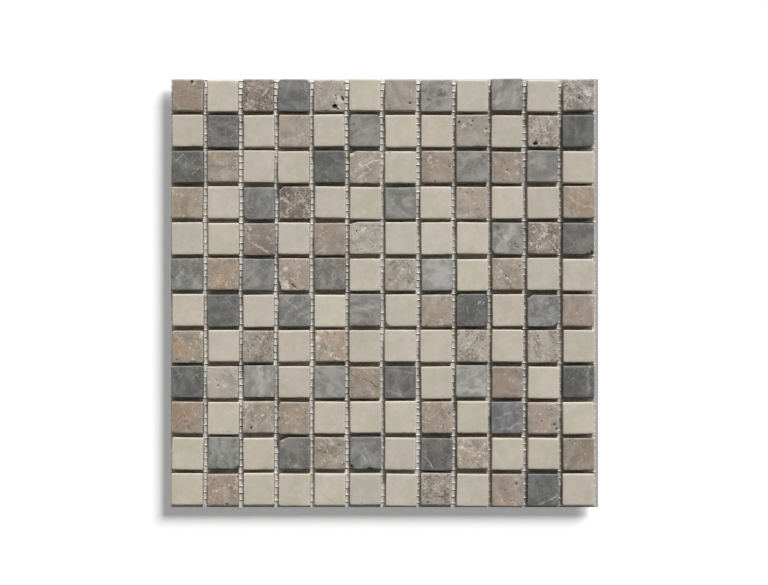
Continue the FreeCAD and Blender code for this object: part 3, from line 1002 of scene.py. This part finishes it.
@functools.cache
def stone_material(stone):
    """The honed finish of one kind of stone, paler where it is broken and paler and duller on worn edges,
    with a painted highlight on those edges, painted light on its sides and painted shade in its pits.
    """
    tint_reach, dull, relief_strength, edge_darkening, build = STONE_LOOKS[stone]
    n = Nodes(stone)
    place = n.field("stone_place", "Vector")
    edge = n.field("edge")
    colour, pale, dark = build(n, place)
    colour = n.times(colour, GOLDEN_AREA, n.field("warm"))
    colour = n.own_veins(place, pale, dark, colour)
    colour = n.times(colour, n.field("tone", "Vector"))
    colour = n.mix(n.product(n.field("broken"), 0.15), colour, pale)
    # Worn edges are made darker by the stone's fourth look number
    colour = n.mix(n.product(edge, edge_darkening), colour, dark)
    colour = n.mix(n.product(edge, 0.16), colour, pale)
    # Painted highlight: worn edges are made lighter still
    colour = n.times(colour, EDGE_PAINTED_HIGHLIGHT, edge)
    # Painted light: sides are made lighter and warmer, standing in for the light they get in the joints
    colour = n.times(colour, SIDE_PAINTED_LIGHT, n.spread(n.field("side"), 0.6, 1.0))
    # Pits are painted darker: half towards the stone's own dark colour, half towards painted shade
    in_pit = n.spread(n.field("pit"), 0.1, 0.6, 0.0, 0.95)
    colour = n.mix(in_pit, colour, n.mix(0.5, dark, PIT_PAINTED_SHADE))
    grain = n.noise(place, 1.8, 4, 0.65)
    rough = n.math("ADD", n.spread(grain, 0.3, 0.7, dull, dull + 0.14), n.product(edge, 0.15))
    relief = n.bump(n.noise(place, 0.7, 4, 0.6), 0.12 * MM, relief_strength)
    return n.dress({
        "Base Color": colour,
        "Roughness": rough,
        "Specular IOR Level": 0.3,
        "Normal": n.bump(grain, 0.04 * MM, relief_strength, Normal=relief),
    })


def yarn_material():
    """White glass-fibre yarn bound with a slightly yellowed resin."""
    n = Nodes("glass_yarn")
    place = n.place_mm()
    fibres = n.noise(place, 4.0, 3, 0.6)
    cloud = n.spread(n.noise(place, 0.5, 3), 0.38, 0.62)
    colour = n.mix(cloud, linear(198, 193, 183), linear(233, 229, 221))
    colour = n.mix(n.spread(fibres, 0.5, 0.8, 0.0, 0.35), colour, linear(140, 135, 122))
    return n.dress({
        "Base Color": n.mix(n.field("resin"), colour, linear(240, 238, 232)),
        "Roughness": n.spread(fibres, 0.3, 0.7, 0.35, 0.6),
        "Normal": n.bump(fibres, 0.08 * MM, 0.6),
    })


def adhesive_material():
    """Milky dried adhesive."""
    n = Nodes("adhesive")
    cloud = n.noise(n.place_mm(), 0.8, 3)
    return n.dress({
        "Base Color": n.mix(n.spread(cloud, 0.35, 0.65), linear(186, 182, 168), linear(208, 204, 192)),
        "Roughness": n.spread(cloud, 0.3, 0.7, 0.3, 0.5),
        "Normal": n.bump(cloud, 0.2 * MM, 0.5),
    })


for node in ROW_NODES:
    make_stone_piece(node)
make_net()


# Studio

def ground(name, reach, height, material):
    """A flat piece of ground, which isn't part of the sheet."""
    corners = [(x * reach, y * reach, height) for x, y in ((-1, -1), (1, -1), (1, 1), (-1, 1))]
    plane = mesh_object(name, corners, [(0, 1, 2, 3)], material, smooth=False)
    return plane


def block(name, low, high, material):
    """A plain block that isn't part of the sheet."""
    corners = list(itertools.product(*zip(low, high)))
    faces = [(0, 1, 3, 2), (4, 6, 7, 5), (0, 4, 5, 1), (2, 3, 7, 6), (0, 2, 6, 4), (1, 5, 7, 3)]
    piece = mesh_object(name, corners, faces, material, smooth=False)
    return piece


MATT = {"Roughness": 1.0, "Specular IOR Level": 0.0}
# The board's colour on its left, and its painted shade towards the right and along its right edge
BOARD_LEFT = (0.70, 0.685, 0.645, 1)
BOARD_RIGHT_SHADED = (0.52, 0.505, 0.48, 1)
BOARD_RIM_SHADED = (0.37, 0.36, 0.355, 1)


def floor_material():
    """White to the camera where the ground lamp reaches it, grey in the sheet's shadow."""
    n = Nodes("floor")
    rays = n.add("LightPath", {}).outputs
    seen = n.math("MAXIMUM", rays["Is Camera Ray"], rays["Is Glossy Ray"])
    glow = {"Emission Color": (1, 1, 1, 1), "Emission Strength": n.product(seen, 0.3)}
    return n.dress({"Base Color": (0.25, 0.25, 0.25, 1), **MATT, **glow})


def board_material():
    """The pale board under the net, with painted shade: greyer to the right and most along its right edge.
    """
    n = Nodes("board")
    x = n.axes(n.place_mm())[0]
    shade_to_right = n.spread(x, 0.3 * LOW[0], 0.8 * HIGH[0])
    # Painted shade along the board's right edge
    rim = n.spread(x, HIGH[0] - 1.0, HIGH[0] + 0.5)
    colour = n.mix(shade_to_right, BOARD_LEFT, BOARD_RIGHT_SHADED)
    return n.dress({"Base Color": n.mix(rim, colour, BOARD_RIM_SHADED), **MATT})


# The sheet lies on a thin pale board as large as itself, a little off to the right, and
# the board on a smaller block
BOARD_TOP = -0.18
BOARD_THICKNESS = 1.5
BOARD_PAST_LOW = (0.5, -0.5)
BOARD_PAST_HIGH = (2.0, -0.4)
BLOCK_HEIGHT = 7.1
BLOCK_INSET = 25
FLOOR_REACH = 4000
STAGE_GAP = 0.02
board_low = np.array([*(LOW[:2] + BOARD_PAST_LOW), BOARD_TOP - BOARD_THICKNESS])
board_high = np.array([*(HIGH[:2] + BOARD_PAST_HIGH), BOARD_TOP])
block_low = board_low + (BLOCK_INSET, BLOCK_INSET, -BLOCK_HEIGHT)
block_high = board_high - (BLOCK_INSET, BLOCK_INSET, BOARD_THICKNESS + STAGE_GAP)
floor = ground("floor", FLOOR_REACH, block_low[2] - STAGE_GAP, floor_material())
board = block("board", board_low, board_high, board_material())
block("block_under_board", block_low, block_high, board_material())


def sun(name, direction, level, angle_deg):
    """A distant lamp. At level 1 alone it shows level ground in its own colour."""
    toward = np.array(direction) / np.linalg.norm(direction)
    data = bpy.data.lights.new(name, "SUN")
    data.angle = math.radians(angle_deg)
    data.energy = level * math.pi / toward[2]
    ob = bpy.data.objects.new(name, data)
    scene.collection.objects.link(ob)
    ob.location = toward
    ob.rotation_euler = ob.location.to_track_quat("Z", "Y").to_euler()
    return ob


key = sun("key", (0.2, 1.43, 1.0), 0.715, 9)
left_fill = sun("left_fill", (-0.35, 1.2, 1.0), 0.07, 25)
right_fill = sun("right_fill", (1.2, 0.5, 1.0), 0.12, 25)
ground_lamp = sun("ground_lamp", (1.21, 1.32, 1.0), 3.0, 27)


def link(lamp, kind, member, state):
    """Makes a lamp reach, skip or stop at one piece of the stage."""
    group = bpy.data.collections.new(lamp.name + "_" + kind)
    group.objects.link(member)
    group.collection_objects[0].light_linking.link_state = state
    setattr(lamp.light_linking, kind, group)


for lamp in (key, left_fill, right_fill):
    link(lamp, "receiver_collection", floor, "EXCLUDE")
link(ground_lamp, "receiver_collection", floor, "INCLUDE")
link(ground_lamp, "blocker_collection", board, "INCLUDE")

WORLD_COLOUR = (1, 0.92, 0.84, 1)
WORLD_STRENGTH = 0.095
world = bpy.data.worlds.new("studio")
world.use_nodes = True
background = world.node_tree.nodes["Background"]
background.inputs["Color"].default_value = WORLD_COLOUR
background.inputs["Strength"].default_value = WORLD_STRENGTH
scene.world = world

IMAGE_WIDTH = 768
SENSOR = 36
CAMERA_HEIGHT = 1500
CAMERA_X = 0.63
PIXELS_PER_MM = 1.401
camera_data = bpy.data.cameras.new("camera")
camera_data.sensor_width = SENSOR
camera_data.lens = SENSOR * (CAMERA_HEIGHT - HIGH[2]) * PIXELS_PER_MM / IMAGE_WIDTH
camera = bpy.data.objects.new("camera", camera_data)
camera.location = (CAMERA_X * MM, 0, CAMERA_HEIGHT * MM)
scene.collection.objects.link(camera)
scene.camera = camera
scene.view_settings.view_transform = "Standard"
